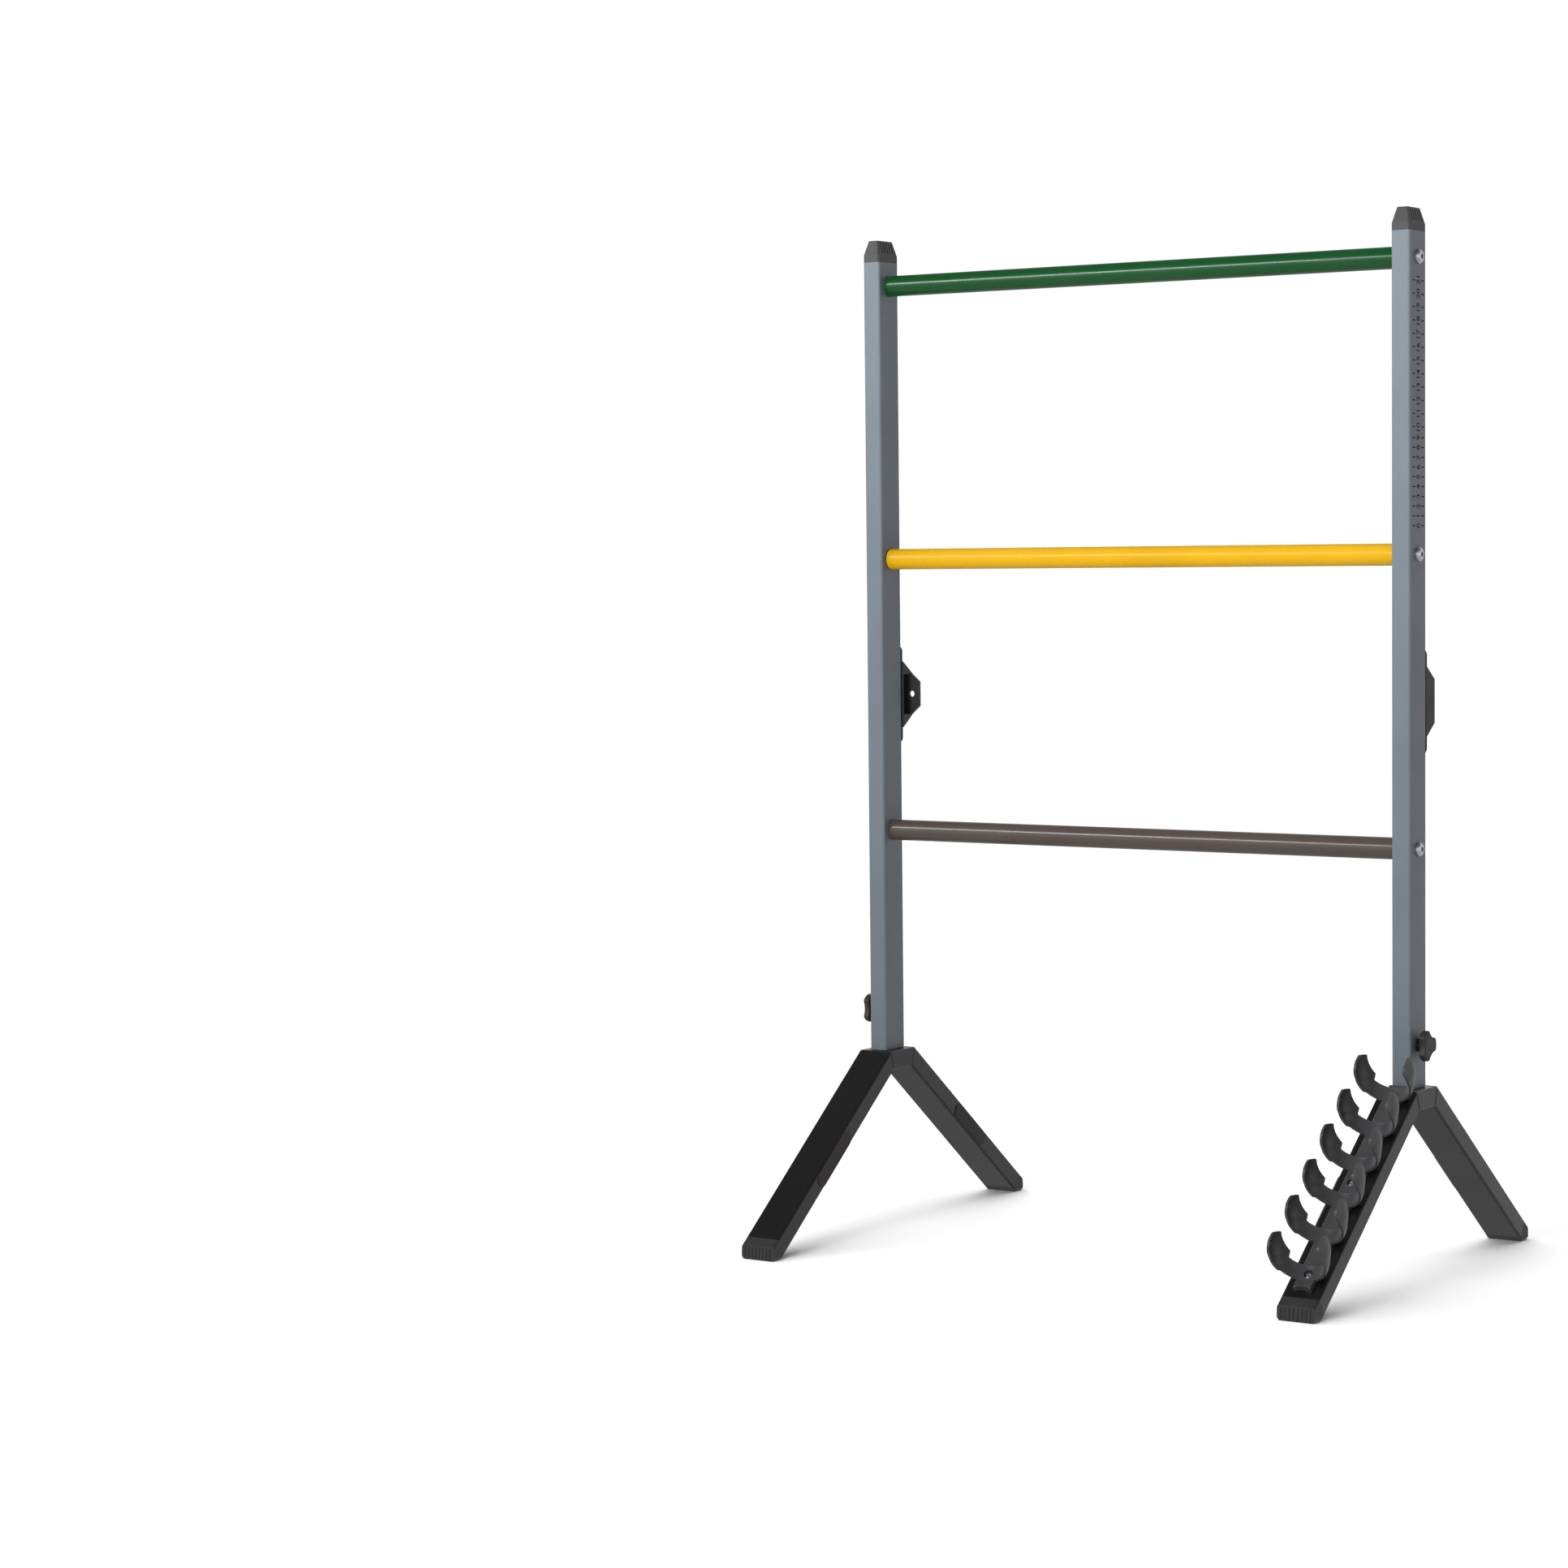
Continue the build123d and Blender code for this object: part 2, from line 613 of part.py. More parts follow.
def strap_saddle(number):
    """Solid that a cradle's strap takes up in the rail: a slice of a ball as round as the cradle."""
    outer_r = CRADLE_R + CRADLE_T
    width = STRAP_HIGH - STRAP_LOW
    with BuildPart() as saddle:
        with Locations(ball_centre(number)):
            Sphere(outer_r)
        with BuildSketch(over_leg(UPRIGHT_X, -1, strap_station(number), 0)):
            Rectangle(2 * RAIL_W, width)
        extrude(amount=outer_r, mode=Mode.INTERSECT)
    return saddle.part


def ball_rack_rail():
    """Flat rail on the leg, hollowed where each ball and each cradle strap sits."""
    length = RAIL_END - RAIL_START
    saddles = [strap_saddle(number) for number in range(CRADLES)]
    with BuildPart() as rail:
        with BuildSketch(over_leg(UPRIGHT_X, -1, RAIL_START + length / 2, 0)):
            Rectangle(RAIL_W, length)
        extrude(amount=RAIL_T)
        top_face = rail.faces().sort_by(Axis(ball_centre(0), outward(-1)))[-1]
        chamfer(top_face.edges(), RAIL_EDGE)
        with BuildSketch(over_leg(UPRIGHT_X, -1, RAIL_END + RAIL_NOTCH_R - RAIL_NOTCH_DEPTH, 0)):
            Circle(RAIL_NOTCH_R)
        extrude(amount=RAIL_T, mode=Mode.SUBTRACT)
        add(saddles, mode=Mode.SUBTRACT)
        with Locations(*[ball_centre(number) for number in range(CRADLES)]):
            Sphere(CRADLE_R, mode=Mode.SUBTRACT)
        for station, seat in zip(rack_screw_stations(), rack_screw_seats()):
            with BuildSketch(over_leg(UPRIGHT_X, -1, station, 0)):
                Circle(SCREW_R)
            extrude(amount=RAIL_T, mode=Mode.SUBTRACT)
            with BuildSketch(over_leg(UPRIGHT_X, -1, station, seat)):
                Circle(ACCESS_R)
            extrude(amount=RAIL_T, mode=Mode.SUBTRACT)
    return rail.part


def rack_screw_seats():
    """Heights over the leg at which the rack's screw heads bear."""
    return (RACK_SCREW_SEAT, MIDDLE_SCREW_SEAT, RACK_SCREW_SEAT)


def thickened(point):
    """Point on a cradle's outer surface beside a point on its inner one, both in its section."""
    return (point[0] + CRADLE_T, point[1])


def ball_cradle(number):
    """Thin cup for one ball: a strap across the rail that rises into a leaf on each side."""
    centre = ball_centre(number)
    outer_r = CRADLE_R + CRADLE_T
    strap_reach = 2 * CRADLE_R
    strap_corners = [strap_corner(STRAP_HIGH, strap_reach), strap_corner(STRAP_LOW, strap_reach),
                     strap_corner(STRAP_LOW, STRAP_ROOT)]
    outline = [(y, z) for y, z, _ in LEAF_CORNERS] + strap_corners
    radii = [corner_r for _, _, corner_r in LEAF_CORNERS] + [STRAP_CORNER_R] * len(strap_corners)
    with BuildPart() as cradle:
        with BuildSketch(Plane(origin=centre, x_dir=(1, 0, 0), z_dir=(0, -1, 0))):
            with BuildLine():
                RadiusArc((0, -CRADLE_R), (CRADLE_R, 0), -CRADLE_R)
                ThreePointArc((CRADLE_R, 0), CRADLE_BELLY, CRADLE_MOUTH)
                Line(CRADLE_MOUTH, thickened(CRADLE_MOUTH))
                ThreePointArc(thickened(CRADLE_MOUTH), thickened(CRADLE_BELLY), (outer_r, 0))
                RadiusArc((outer_r, 0), (0, -outer_r), outer_r)
                Line((0, -outer_r), (0, -CRADLE_R))
            make_face()
        revolve(axis=Axis(centre, (0, 0, 1)))
        with BuildSketch(Plane(origin=centre, x_dir=(0, 1, 0), z_dir=(1, 0, 0))):
            with BuildLine():
                FilletPolyline(*outline, radius=radii, close=True)
            make_face()
        extrude(amount=2 * CRADLE_R, both=True, mode=Mode.INTERSECT)
        with Locations(*[centre + Vector(way * NIB[0], NIB[1], NIB[2]) for way in (-1, 1)]):
            Sphere(NIB_R)
        if number in (0, CRADLES - 1):
            with BuildSketch(over_leg(UPRIGHT_X, -1, strap_station(number), 0)):
                Circle(ACCESS_R)
            extrude(amount=2 * RAIL_T, mode=Mode.SUBTRACT)
    return cradle.part


def rack_screws():
    """The three screws that hold the rack to the leg."""
    screws = []
    for station, seat in zip(rack_screw_stations(), rack_screw_seats()):
        p = on_leg(UPRIGHT_X, -1, station, seat)
        plane = Plane(origin=p, x_dir=outward(-1), z_dir=(1, 0, 0))
        axis = Axis(p, outward(-1))
        screws.append(screw_profile(plane, axis, RACK_SCREW_HEAD_R, SCREW_HEAD_H, SCREW_LENGTH))
    with BuildPart() as group:
        add(screws)
    return group.part


# ---------------------------------------------------------------- all pieces

for hand_name, hand in HANDS:
    save(upright(hand), f"{hand_name}_upright")
    save(upright_cap(hand), f"{hand_name}_upright_cap")
    for rung_name, rung_height in zip(RUNG_NAMES, RUNG_HEIGHTS):
        save(rung_plug(hand, rung_height), f"{rung_name}_rung_{hand_name}_plug")
    save(rung_nuts(hand), f"{hand_name}_rung_nuts")
    save(rung_bolts(hand), f"{hand_name}_rung_bolts")
    save(storage_bracket(hand), f"{hand_name}_storage_bracket")
    save(bracket_screws(hand), f"{hand_name}_bracket_screws")
    save(knob_boss(hand), f"{hand_name}_knob_boss")
    save(knob_stud(hand), f"{hand_name}_knob_stud")
    save(knob(hand), f"{hand_name}_knob")
    save(bridge(hand), f"{hand_name}_bridge")
    save(stub(hand), f"{hand_name}_stub")
    for way_name, way in WAYS:
        holds_rack = hand > 0 and way < 0
        save(leg(hand, way, rack_screw_stations() if holds_rack else ()), f"{hand_name}_{way_name}_leg")
        save(foot(hand, way), f"{hand_name}_{way_name}_foot")
        save(pad(hand, way), f"{hand_name}_{way_name}_pad")

for rung_name, rung_height in zip(RUNG_NAMES, RUNG_HEIGHTS):
    save(rung(rung_height), f"{rung_name}_rung")

save(ball_rack_rail(), "ball_rack_rail")
for number in range(CRADLES):
    save(ball_cradle(number), f"ball_cradle_{number + 1}")
save(rack_screws(), "rack_screws")
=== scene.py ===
"""Looks of the ladder toss frame: a finish for every piece, printed scales, weld beads, screw recesses,
rounded rims and the studio.

Everything is in metres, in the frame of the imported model: X runs along the rungs, the front is -Y and the
floor is Z = 0.
"""
import json
import math
from random import Random

import bmesh
import bpy
from mathutils import Matrix, Vector


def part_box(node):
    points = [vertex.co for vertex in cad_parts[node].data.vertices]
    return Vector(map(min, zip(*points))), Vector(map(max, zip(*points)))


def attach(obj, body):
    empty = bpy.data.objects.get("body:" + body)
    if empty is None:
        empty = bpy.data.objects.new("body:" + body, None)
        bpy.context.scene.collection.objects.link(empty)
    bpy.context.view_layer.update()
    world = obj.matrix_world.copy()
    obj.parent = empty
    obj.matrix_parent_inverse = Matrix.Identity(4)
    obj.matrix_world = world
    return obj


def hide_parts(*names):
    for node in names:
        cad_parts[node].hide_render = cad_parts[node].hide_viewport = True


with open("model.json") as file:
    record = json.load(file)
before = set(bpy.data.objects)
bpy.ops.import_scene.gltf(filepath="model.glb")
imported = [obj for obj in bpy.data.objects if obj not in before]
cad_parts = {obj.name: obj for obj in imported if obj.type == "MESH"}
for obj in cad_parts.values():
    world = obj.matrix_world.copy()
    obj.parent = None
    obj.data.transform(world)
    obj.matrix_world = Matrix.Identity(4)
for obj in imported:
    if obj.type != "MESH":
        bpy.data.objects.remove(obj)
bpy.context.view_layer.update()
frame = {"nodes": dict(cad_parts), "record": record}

MM = 0.001
HANDS = (("left", -1), ("right", 1))
WAYS = (("front", -1), ("rear", 1))
LEG_ANGLE = 52.5                # degrees from the vertical
SAME_SPOT = 0.001 * MM          # corners closer than this are one corner
SLOT_OF = {row["node"]: row["material_slot"] for row in frame["record"]["subparts"]}

# Camera: where it stands from the middle of the object's base, and how it is turned
CAMERA_PLACE = Vector((1.8616, -3.4214, 0.7252))
CAMERA_TURN = math.radians(33.84)
CAMERA_TILT = math.radians(86.496)
CAMERA_ROLL = math.radians(-0.613)
CAMERA_LENS = 86.706

# Printed scale on the uprights' outer faces, up the upright from its lower numbers to its upper ones
SCALE_START = 745 * MM
SCALE_LOW_PITCH = 9.55 * MM     # from 0 to 9
SCALE_BREAK = 841.5 * MM        # height of the 10
SCALE_HIGH_PITCH = 12.95 * MM   # from 10 to 21
SCALE_LOW_LAST = 9
SCALE_LAST = 21
NUMBER_HEIGHT = 7.6 * MM
NUMBER_CENTRE = 0.5 * MM        # behind the upright's middle
TICK_LENGTH = 6.4 * MM
TICK_THICKNESS = 1.2 * MM
TICK_FRONT = -9.6 * MM
TICK_REAR = 11.1 * MM
INK_THICKNESS = 0.06 * MM
INK_BOLDNESS = 0.012            # how far the type's outline is moved out, in the type's own units

# Weld beads round the joints between each bridge and its legs
BEAD_R = 1.5 * MM
BEAD_SINK = 0.85 * MM           # how far the bead's centre line lies under the surface
BEAD_CORNER = 2.4 * MM
BEAD_RIPPLE = 1.8 * MM
BEAD_RISE = 0.07                # of the radius, from a hollow to a ripple
BEAD_WIDEN = 1.3                # width of the bead over its height
BEAD_SWAY = 0.12 * MM           # how far the bead wanders to each side
BEAD_TOP_GAP = 1.6 * MM         # bare length under the outer face
BEAD_TAPER = 8                  # rings over which an end swells to the full radius
BEAD_SIDES = 16
RIPPLE_RINGS = 6                # rings in one ripple
SWAY_RINGS = 12                 # rings from one draw of the sway to the next

# Recess in the screw heads
RECESS_DEPTH = 1.3 * MM
RECESS_HALF = 0.55 * MM         # half the width of one arm
RECESS_REACH = 0.58             # of the head's radius
RECESS_WALL = 0.18 * MM         # width of the slope from the dome into an arm
RECESS_END = 4                  # steepness of an arm's end
RECESS_RISE = 0.5               # how much shallower an arm is at its end
DOME_FALL = 0.72                # 1 would bring the dome down to the seat at the rim
SHANK_SHARE = 0.5               # of the head's radius
RIM_SHARE = 0.97                # of the head's radius, beyond which a corner is on the rim
POINT_SHARE = 0.2               # of the shank's radius, at the blunt tip
SCREW_RINGS = 22
SCREW_STEPS = 72

# Rounded rims of the moulded pieces
RIMS = {
    "ball_cradle": 0.75 * MM,
    "ball_rack_rail": 0.4 * MM,
    "storage_bracket": 0.6 * MM,
    "upright_cap": 0.35 * MM,
    "foot": 0.45 * MM,
}
RIM_SEGMENTS = 3
RIM_ANGLE = 40                  # degrees; flatter edges stay as they are

# Studio
FLOOR_HALF = 30
SKY_HORIZON = (1.0, 1.0, 1.0, 1)
SKY_OVERHEAD = (0.13, 0.13, 0.13, 1)
SKY_BELOW = (0.45, 0.45, 0.45, 1)
SKY_BEHIND = (0.60, 0.60, 0.61, 1)
SKY_SEEN = 1.05                 # brightness of the plain white that the camera sees
FALL_OVERHEAD = (0.08, 0.60)    # where a direction's Z takes the sky from white to its overhead grey
FALL_BELOW = (-0.02, -0.20)     # and to its grey below
FALL_BEHIND = (0.45, 0.80)      # where a direction's Y takes it to the grey behind the frame


# ---------------------------------------------------------------- node helpers

def add_node(tree, kind, values=None, **settings):
    """A shader node with its input values and its settings."""
    made = tree.nodes.new(kind)
    for key, value in settings.items():
        setattr(made, key, value)
    for key, value in (values or {}).items():
        made.inputs[key].default_value = value
    return made


def rgba(colour, scale=1.0):
    """A colour as four numbers, made lighter or darker by scale."""
    return tuple(min(1.0, c * scale) for c in colour) + (1.0,)


def noise(tree, place, scale, detail=2.0, roughness=0.5):
    """Noise with features 1 / scale metres apart."""
    made = add_node(tree, "ShaderNodeTexNoise", {"Scale": scale, "Detail": detail, "Roughness": roughness})
    tree.links.new(place, made.inputs["Vector"])
    return made.outputs["Fac"]


def spread(tree, value, low, high, to_low=0.0, to_high=1.0):
    """Stretch the part of value between low and high over to_low to to_high."""
    made = add_node(tree, "ShaderNodeMapRange", {1: low, 2: high, 3: to_low, 4: to_high})
    tree.links.new(value, made.inputs[0])
    return made.outputs[0]


def blend_colours(tree, amount, first, second):
    """Mix of two colours, which are four numbers or an output each."""
    made = add_node(tree, "ShaderNodeMix", data_type="RGBA")
    tree.links.new(amount, made.inputs[0])
    for socket, colour in ((made.inputs[6], first), (made.inputs[7], second)):
        if isinstance(colour, tuple):
            socket.default_value = colour
        else:
            tree.links.new(colour, socket)
    return made.outputs[2]


def bump(tree, height, distance, strength=1.0, under=None):
    """Bump of that height in metres, on top of another bump if there is one."""
    made = add_node(tree, "ShaderNodeBump", {"Distance": distance, "Strength": strength})
    tree.links.new(height, made.inputs["Height"])
    if under is not None:
        tree.links.new(under, made.inputs["Normal"])
    return made.outputs["Normal"]


def edge_mask(tree, radius, low, high):
    """1 within the radius of a sharp edge and 0 on open faces; it places the painted edge highlights."""
    rounded = add_node(tree, "ShaderNodeBevel", {"Radius": radius}, samples=4)
    plain = add_node(tree, "ShaderNodeNewGeometry")
    dot = add_node(tree, "ShaderNodeVectorMath", operation="DOT_PRODUCT")
    tree.links.new(rounded.outputs[0], dot.inputs[0])
    tree.links.new(plain.outputs["Normal"], dot.inputs[1])
    return spread(tree, dot.outputs["Value"], high, low)


def new_material(name, roughness, metallic=0.0, **sockets):
    """A material with its shader, its node tree and its place output."""
    material = bpy.data.materials.new(name)
    material.use_nodes = True
    tree = material.node_tree
    shader = next(n for n in tree.nodes if n.type == "BSDF_PRINCIPLED")
    shader.inputs["Roughness"].default_value = roughness
    shader.inputs["Metallic"].default_value = metallic
    for key, value in sockets.items():
        shader.inputs[key.replace("_", " ")].default_value = value
    place = add_node(tree, "ShaderNodeTexCoord").outputs["Object"]
    return material, tree, shader, place


# ---------------------------------------------------------------- finishes

# How fine each pattern is, in features per metre
DRIFT_SCALE = 9
HANDLED_SCALE = 24
FLOW_SCALE = 45
WEAR_SCALE = 400
PEEL_SCALE = 620
CRYSTAL_SCALE = 900
PORE_SCALE = 1500
PINHOLE_SCALE = 2400
SPECK_SCALE = 2600
FILM_SCALE = 3200

SHEEN_MARKS = 0.06              # how far handling moves a powder coat's roughness either way
COAT_EDGE_HIGHLIGHT = 1.0 * MM           # width of the painted highlight along a powder-coated edge
# Width of the painted highlight along a moulded edge.
MOULDED_EDGE_HIGHLIGHT = 0.6 * MM
ZINC_BRIGHT = (0.72, 0.76, 0.80, 1)
ZINC_DULL = (0.55, 0.58, 0.62, 1)
INK_BLACK = (0.004, 0.004, 0.005, 1)
INK_WORN = (0.02, 0.022, 0.026, 1)
FLOOR_LIGHT = (0.93, 0.93, 0.94, 1)
FLOOR_DARK = (0.91, 0.91, 0.915, 1)


def powder_coat(name, colour, roughness, peel, edge=1.35, **sockets):
    """Powder coat: orange peel about 1.5 mm across, a slight drift of tone, and a painted highlight along
    its edges.
    """
    material, tree, shader, place = new_material(name, roughness, **sockets)
    drift = spread(tree, noise(tree, place, DRIFT_SCALE, 3), 0.35, 0.65)
    speck = spread(tree, noise(tree, place, SPECK_SCALE, 1), 0.60, 0.78)
    tone = blend_colours(tree, drift, rgba(colour, 0.95), rgba(colour, 1.05))
    tone = blend_colours(tree, spread(tree, speck, 0, 1, 0, 0.35), tone, rgba(colour, 1.25))
    # Painted highlight: the colour turns lighter along sharp edges, by the factor edge.
    tone = blend_colours(tree, edge_mask(tree, COAT_EDGE_HIGHLIGHT, 0.80, 0.97), tone, rgba(colour, edge))
    tree.links.new(tone, shader.inputs["Base Color"])
    handled = noise(tree, place, HANDLED_SCALE, 4)
    rubbed = spread(tree, handled, 0.3, 0.7, roughness - SHEEN_MARKS, roughness + SHEEN_MARKS)
    tree.links.new(rubbed, shader.inputs["Roughness"])
    orange_peel = bump(tree, noise(tree, place, PEEL_SCALE, 2), peel)
    grained = bump(tree, noise(tree, place, FILM_SCALE, 1), peel * 0.25, under=orange_peel)
    tree.links.new(grained, shader.inputs["Normal"])
    return material


def moulding(name, colour, roughness, grain, grain_scale, **sockets):
    """Moulded plastic: spark-eroded grain, faint flow marks and a painted highlight along the edges."""
    material, tree, shader, place = new_material(name, roughness, **sockets)
    flow = spread(tree, noise(tree, place, FLOW_SCALE, 5, 0.6), 0.3, 0.7)
    tone = blend_colours(tree, flow, rgba(colour, 0.85), rgba(colour, 1.15))
    # Painted highlight: the colour is 1.8 times lighter along sharp edges.
    tone = blend_colours(tree, edge_mask(tree, MOULDED_EDGE_HIGHLIGHT, 0.75, 0.97), tone, rgba(colour, 1.8))
    tree.links.new(tone, shader.inputs["Base Color"])
    tree.links.new(spread(tree, flow, 0, 1, roughness - 0.05, roughness + 0.07), shader.inputs["Roughness"])
    cells = add_node(tree, "ShaderNodeTexVoronoi", {"Scale": grain_scale}, feature="SMOOTH_F1")
    tree.links.new(place, cells.inputs["Vector"])
    pitted = bump(tree, cells.outputs["Distance"], grain)
    tree.links.new(bump(tree, noise(tree, place, 2 * grain_scale, 2), grain * 0.5, under=pitted),
                   shader.inputs["Normal"])
    return material


def rubber(name, colour):
    """Dull rubber with a leathery skin and dust in its pores."""
    material, tree, shader, place = new_material(name, 0.78)
    pores = noise(tree, place, PORE_SCALE, 4, 0.65)
    tone = blend_colours(tree, spread(tree, pores, 0.4, 0.65), rgba(colour, 0.7), rgba(colour, 1.5))
    tree.links.new(tone, shader.inputs["Base Color"])
    tree.links.new(bump(tree, pores, 0.12 * MM), shader.inputs["Normal"])
    return material


def zinc(name, thread_pitch=None):
    """Bright zinc plate with crystal patches and a faint blue cast; with a pitch, thread turns along X."""
    material, tree, shader, place = new_material(name, 0.28, metallic=1.0)
    patches = add_node(tree, "ShaderNodeTexVoronoi", {"Scale": CRYSTAL_SCALE})
    tree.links.new(place, patches.inputs["Vector"])
    tone = blend_colours(tree, patches.outputs["Distance"], ZINC_BRIGHT, ZINC_DULL)
    tree.links.new(tone, shader.inputs["Base Color"])
    worn = noise(tree, place, WEAR_SCALE, 3)
    tree.links.new(spread(tree, worn, 0.3, 0.7, 0.20, 0.38), shader.inputs["Roughness"])
    normal = bump(tree, worn, 0.02 * MM)
    if thread_pitch:
        scale = math.pi / (10 * thread_pitch)
        turns = add_node(tree, "ShaderNodeTexWave", {"Scale": scale}, wave_profile="TRI")
        tree.links.new(place, turns.inputs["Vector"])
        normal = bump(tree, turns.outputs["Fac"], 0.6 * thread_pitch, under=normal)
    tree.links.new(normal, shader.inputs["Normal"])
    return material


def ink(name):
    """Screen-printed black ink, slightly uneven and less glossy than the paint under it."""
    material, tree, shader, place = new_material(name, 0.6, Specular_IOR_Level=0.15)
    pinholes = noise(tree, place, PINHOLE_SCALE, 3)
    tone = blend_colours(tree, spread(tree, pinholes, 0.55, 0.75), INK_BLACK, INK_WORN)
    tree.links.new(tone, shader.inputs["Base Color"])
    tree.links.new(bump(tree, pinholes, 0.02 * MM), shader.inputs["Normal"])
    return material


def floor_finish():
    """Plain pale studio floor with the faintest unevenness."""
    material, tree, shader, place = new_material("studio_floor", 0.75)
    tone = blend_colours(tree, noise(tree, place, 0.8, 2), FLOOR_LIGHT, FLOOR_DARK)
    tree.links.new(tone, shader.inputs["Base Color"])
    return material


# edge: how much lighter each powder coat's painted highlight along its edges is.
FINISHES = {
    "upright_paint": powder_coat("upright_paint", (0.080, 0.096, 0.111), 0.36, 0.05 * MM, edge=1.4),
    "black_paint": powder_coat("black_paint", (0.005, 0.005, 0.0053), 0.24, 0.04 * MM, edge=2.5),
    "rung_green": powder_coat("rung_green", (0.001, 0.030, 0.006), 0.22, 0.02 * MM),
    "rung_yellow": powder_coat("rung_yellow", (0.345, 0.190, 0.0004), 0.28, 0.02 * MM,
                               Specular_IOR_Level=0.25),
    "rung_taupe": powder_coat("rung_taupe", (0.042, 0.032, 0.027), 0.22, 0.02 * MM),
    "black_moulding": moulding("black_moulding", (0.015, 0.015, 0.016), 0.52, 0.04 * MM, 1500),
    "cap_moulding": moulding("cap_moulding", (0.027, 0.027, 0.028), 0.45, 0.05 * MM, 1200),
    "rack_moulding": moulding("rack_moulding", (0.033, 0.033, 0.035), 0.34, 0.025 * MM, 1500),
    "pad_rubber": rubber("pad_rubber", (0.022, 0.019, 0.017)),
    "zinc": zinc("zinc"),
    "zinc_thread": zinc("zinc_thread", thread_pitch=1.25 * MM),
}
SPECIAL_FINISHES = {"_knob_stud": "zinc_thread", "_upright_cap": "cap_moulding"}
INK = ink("scale_ink")


# ---------------------------------------------------------------- piece helpers

def piece(name, mesh, material, body, smooth=True):
    """A finished mesh as a piece of the object, riding on a body."""
    obj = bpy.data.objects.new(name, mesh)
    bpy.context.scene.collection.objects.link(obj)
    mesh.materials.clear()
    mesh.materials.append(material)
    if smooth:
        for polygon in mesh.polygons:
            polygon.use_smooth = True
    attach(obj, body)
    return obj


def mesh_from(name, build):
    """A mesh that build fills in through bmesh."""
    shape = bmesh.new()
    build(shape)
    bmesh.ops.recalc_face_normals(shape, faces=shape.faces)
    mesh = bpy.data.meshes.new(name)
    shape.to_mesh(mesh)
    shape.free()
    return mesh


def once_round(count):
    """That many angles, evenly round a circle."""
    return [2 * math.pi * step / count for step in range(count)]


def loose_parts(mesh):
    """Corners of each separate part of a mesh, the highest part first, as a set has no order of its own."""
    shape = bmesh.new()
    shape.from_mesh(mesh)
    bmesh.ops.remove_doubles(shape, verts=shape.verts, dist=SAME_SPOT)
    waiting = set(shape.verts)
    parts = []
    while waiting:
        front = [waiting.pop()]
        part = []
        while front:
            corner = front.pop()
            part.append(corner.co.copy())
            for edge in corner.link_edges:
                other = edge.other_vert(corner)
                if other in waiting:
                    waiting.remove(other)
                    front.append(other)
        parts.append(part)
    shape.free()
    return sorted(parts, key=lambda part: max(corner.z for corner in part), reverse=True)


# ---------------------------------------------------------------- printed scale

def scale_heights():
    """Height of every number on the scale."""
    low = [SCALE_START + SCALE_LOW_PITCH * n for n in range(SCALE_LOW_LAST + 1)]
    high = [SCALE_BREAK + SCALE_HIGH_PITCH * n for n in range(SCALE_LAST - SCALE_LOW_LAST)]
    return low + high


def number_mesh(text):
    """A number as a thin raised mesh in its own plane, NUMBER_HEIGHT tall and centred on the origin."""
    curve = bpy.data.curves.new("number", "FONT")
    curve.body = text
    curve.extrude = INK_THICKNESS / 2
    curve.offset = INK_BOLDNESS
    holder = bpy.data.objects.new("number", curve)
    bpy.context.scene.collection.objects.link(holder)
    bpy.context.view_layer.update()
    mesh = bpy.data.meshes.new_from_object(holder)
    bpy.data.objects.remove(holder)
    xs = [v.co.x for v in mesh.vertices]
    ys = [v.co.y for v in mesh.vertices]
    size = NUMBER_HEIGHT / (max(ys) - min(ys))
    centre = Vector(((max(xs) + min(xs)) / 2, (max(ys) + min(ys)) / 2, 0))
    for v in mesh.vertices:
        v.co = Vector(((v.co.x - centre.x) * size, (v.co.y - centre.y) * size, v.co.z))
    return mesh


def printed_scale(hand_name, hand):
    """Numbers and ticks printed up the outer face of one upright."""
    low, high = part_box(f"{hand_name}_upright")
    face_x = high.x if hand > 0 else low.x
    ink_x = face_x + hand * INK_THICKNESS / 2
    centre_y = (low.y + high.y) / 2
    turn = Matrix(((0, 0, hand, 0), (0, -hand, 0, 0), (1, 0, 0, 0), (0, 0, 0, 1)))
    tick = Matrix.Diagonal((INK_THICKNESS, TICK_LENGTH, TICK_THICKNESS, 1))
    numbers = bmesh.new()
    ticks = bmesh.new()
    for number, z in enumerate(scale_heights()):
        spot = Vector((ink_x, centre_y + hand * NUMBER_CENTRE, z))
        mesh = number_mesh(str(number))
        mesh.transform(Matrix.Translation(spot) @ turn)
        numbers.from_mesh(mesh)
        bpy.data.meshes.remove(mesh)
        for offset in (TICK_FRONT, TICK_REAR):
            spot = Vector((ink_x, centre_y + hand * offset, z))
            bmesh.ops.create_cube(ticks, size=1, matrix=Matrix.Translation(spot) @ tick)
    for kind, shape in (("numbers", numbers), ("ticks", ticks)):
        name = f"{hand_name}_scale_{kind}"
        mesh = bpy.data.meshes.new(name)
        bmesh.ops.recalc_face_normals(shape, faces=shape.faces)
        shape.to_mesh(mesh)
        shape.free()
        piece(name, mesh, INK, "ladder", smooth=False)


# ---------------------------------------------------------------- weld beads

def bead_path(half_width, depth):
    """Points down one side face, across the underside and up the other side, in the plane of the joint."""
    w = half_width - BEAD_SINK
    d = depth - BEAD_SINK
    quarter = [math.radians(angle) for angle in range(0, 91, 15)]
    points = [(w, BEAD_TOP_GAP)]
    points += [(w - BEAD_CORNER * (1 - math.cos(a)), d - BEAD_CORNER * (1 - math.sin(a))) for a in quarter]
    points += [(-x, y) for x, y in reversed(points)]
    return points


def evenly(points, step):
    """The same path with a point every step."""
    made = []
    left = 0.0
    for start, end in zip(points, points[1:]):
        run = end - start
        while left < run.length:
            made.append(start + run.normalized() * left)
            left += step
        left -= run.length
    return made


